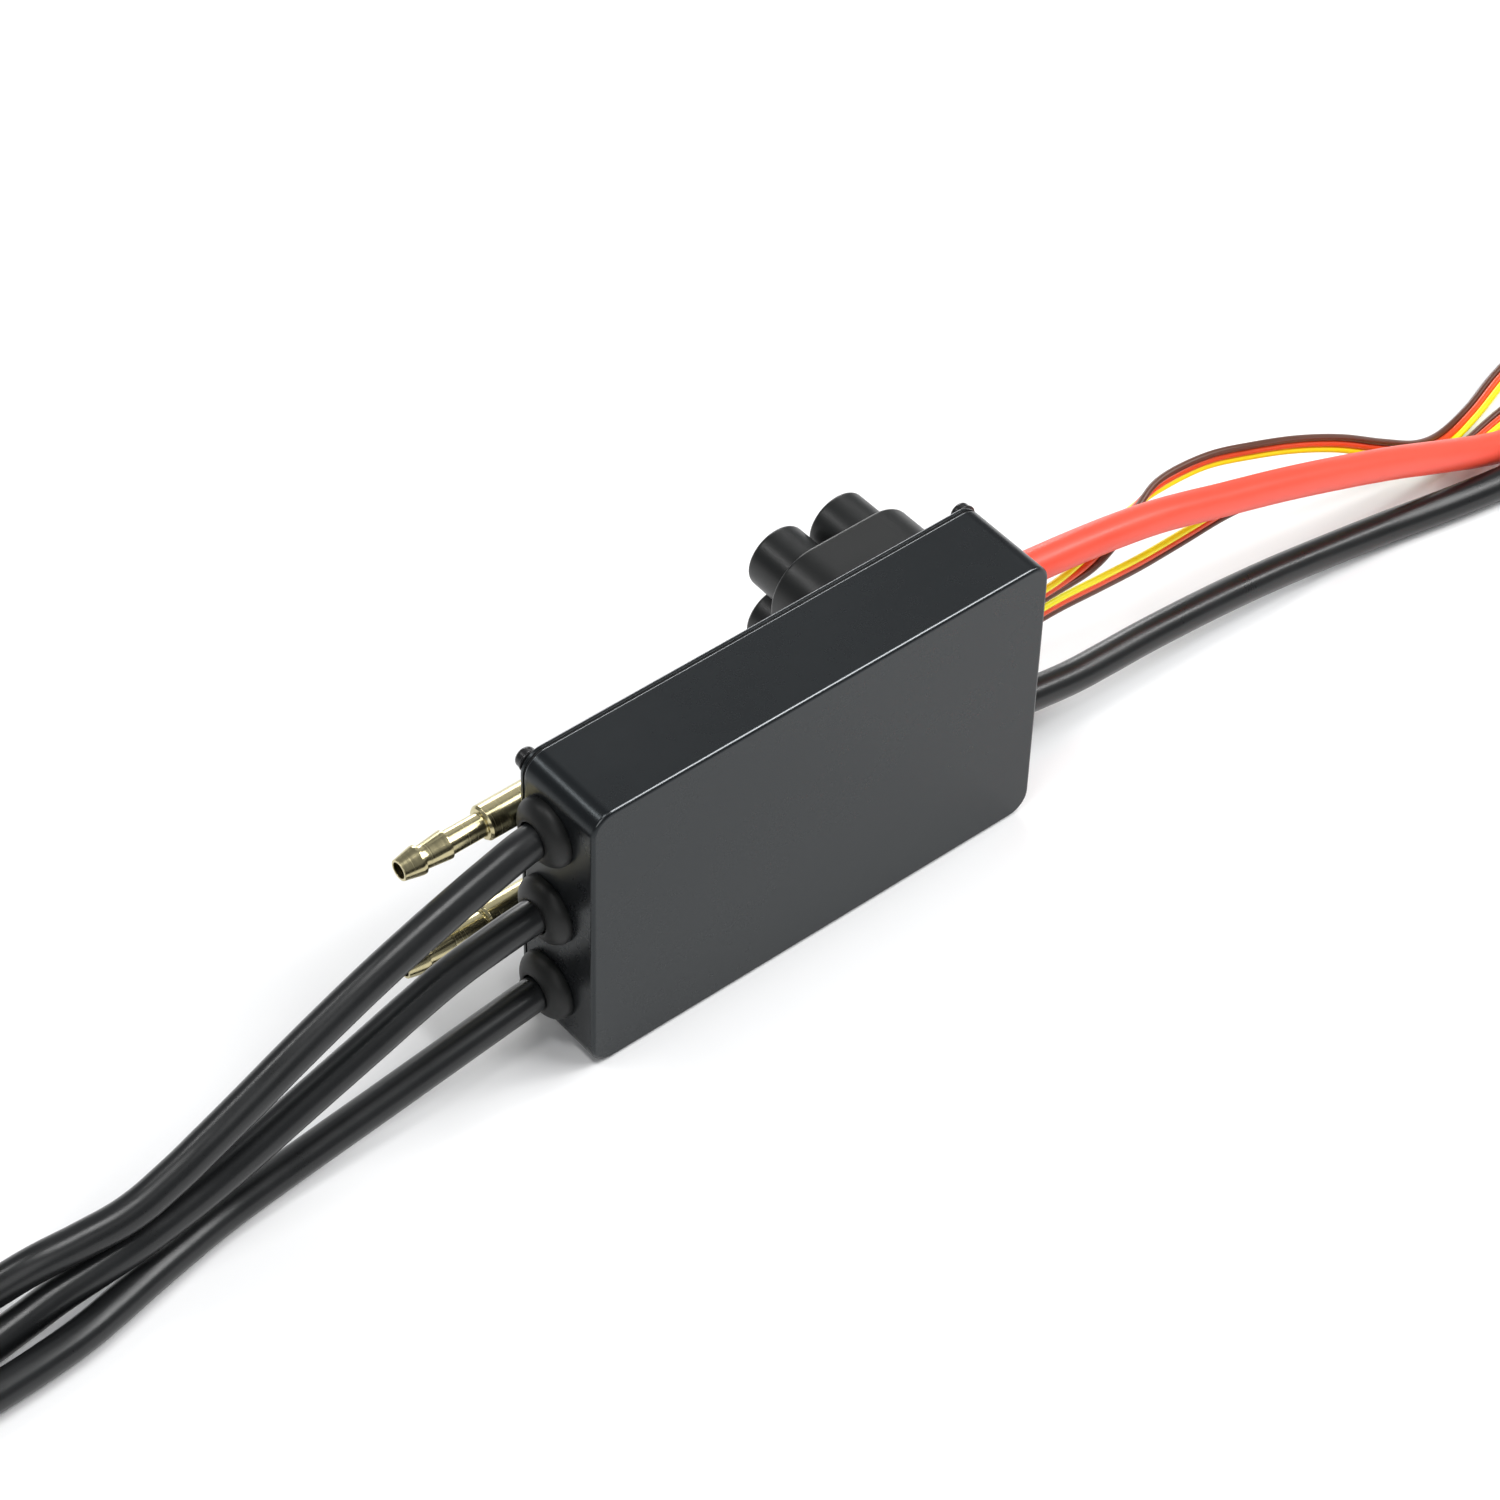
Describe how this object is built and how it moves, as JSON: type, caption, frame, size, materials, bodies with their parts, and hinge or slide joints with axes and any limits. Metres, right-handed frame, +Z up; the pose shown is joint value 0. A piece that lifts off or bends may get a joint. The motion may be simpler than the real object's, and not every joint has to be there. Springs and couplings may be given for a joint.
{
  "type": "electronic speed controller",
  "caption": "Water-cooled brushless motor speed controller in a sealed aluminium case, with barbed hose nozzles, a capacitor boot, phase and battery wires and signal leads.",
  "frame": {"origin": "under the middle of the rigid object (case, nozzles, grommets and capacitor boot), on the surface that it stands on", "axes": "+X along the case, from the phase wires to the battery wires; +Y through its thickness, from the plain broad face to the lid with the water block and capacitor boot; +Z up"},
  "size_m": [0.432, 0.0422, 0.06],
  "materials": {
    "case_anodised": "satin black anodised",
    "block_anodised": "satin black anodised",
    "rubber_black": "satin moulded rubber",
    "screw_black": "black oxide",
    "nickel_brass": "bright nickel plate",
    "zinc_steel": "zinc plated",
    "boot_black": "satin moulded elastomer",
    "capacitor_sleeve": "shrink sleeve",
    "tinned_copper": "tinned strands",
    "pad_silicone": "matte silicone",
    "chip_black": "moulded epoxy",
    "board_green": "solder mask",
    "post_brass": "turned brass",
    "bare_copper": "bare copper",
    "ferrite_grey": "ferrite",
    "plug_black": "moulded plastic",
    "wire_black": "silicone insulation",
    "wire_red": "silicone insulation",
    "lead_ribbon": "PVC ribbon, brown, red and yellow strands",
    "contact_gold": "gold flash"
  },
  "bodies": {
    "root": {"case_body": "case_anodised", "lid_plate": "case_anodised", "lid_gasket": "rubber_black", "lid_screws": "screw_black", "phase_grommets": "rubber_black", "battery_grommets": "rubber_black", "signal_grommet": "rubber_black", "cooling_block": "block_anodised", "channel_plug": "nickel_brass", "inlet_nozzle": "nickel_brass", "outlet_nozzle": "nickel_brass", "nozzle_o_rings": "rubber_black", "block_bolts": "zinc_steel", "capacitor_boot": "boot_black", "capacitors": "capacitor_sleeve", "capacitor_leads": "tinned_copper", "thermal_pad": "pad_silicone", "mosfets": "chip_black", "power_board": "board_green", "board_posts": "post_brass", "board_screws": "zinc_steel", "phase_terminals": "bare_copper", "battery_terminals": "bare_copper", "wire_cores": "tinned_copper", "control_board": "board_green", "control_posts": "post_brass", "control_screws": "zinc_steel", "microcontroller": "chip_black", "gate_drivers": "chip_black", "board_header": "plug_black", "power_inductor": "ferrite_grey", "regulator_chip": "chip_black", "phase_wire_u": "wire_black", "phase_wire_v": "wire_black", "phase_wire_w": "wire_black", "phase_wire_tips": "tinned_copper", "battery_wire_positive": "wire_red", "battery_wire_negative": "wire_black", "battery_wire_tips": "tinned_copper", "signal_lead_a": "lead_ribbon", "signal_lead_b": "lead_ribbon", "signal_plug_a": "plug_black", "signal_plug_b": "plug_black", "signal_contacts_a": "contact_gold", "signal_contacts_b": "contact_gold"}
  },
  "joints": []
}
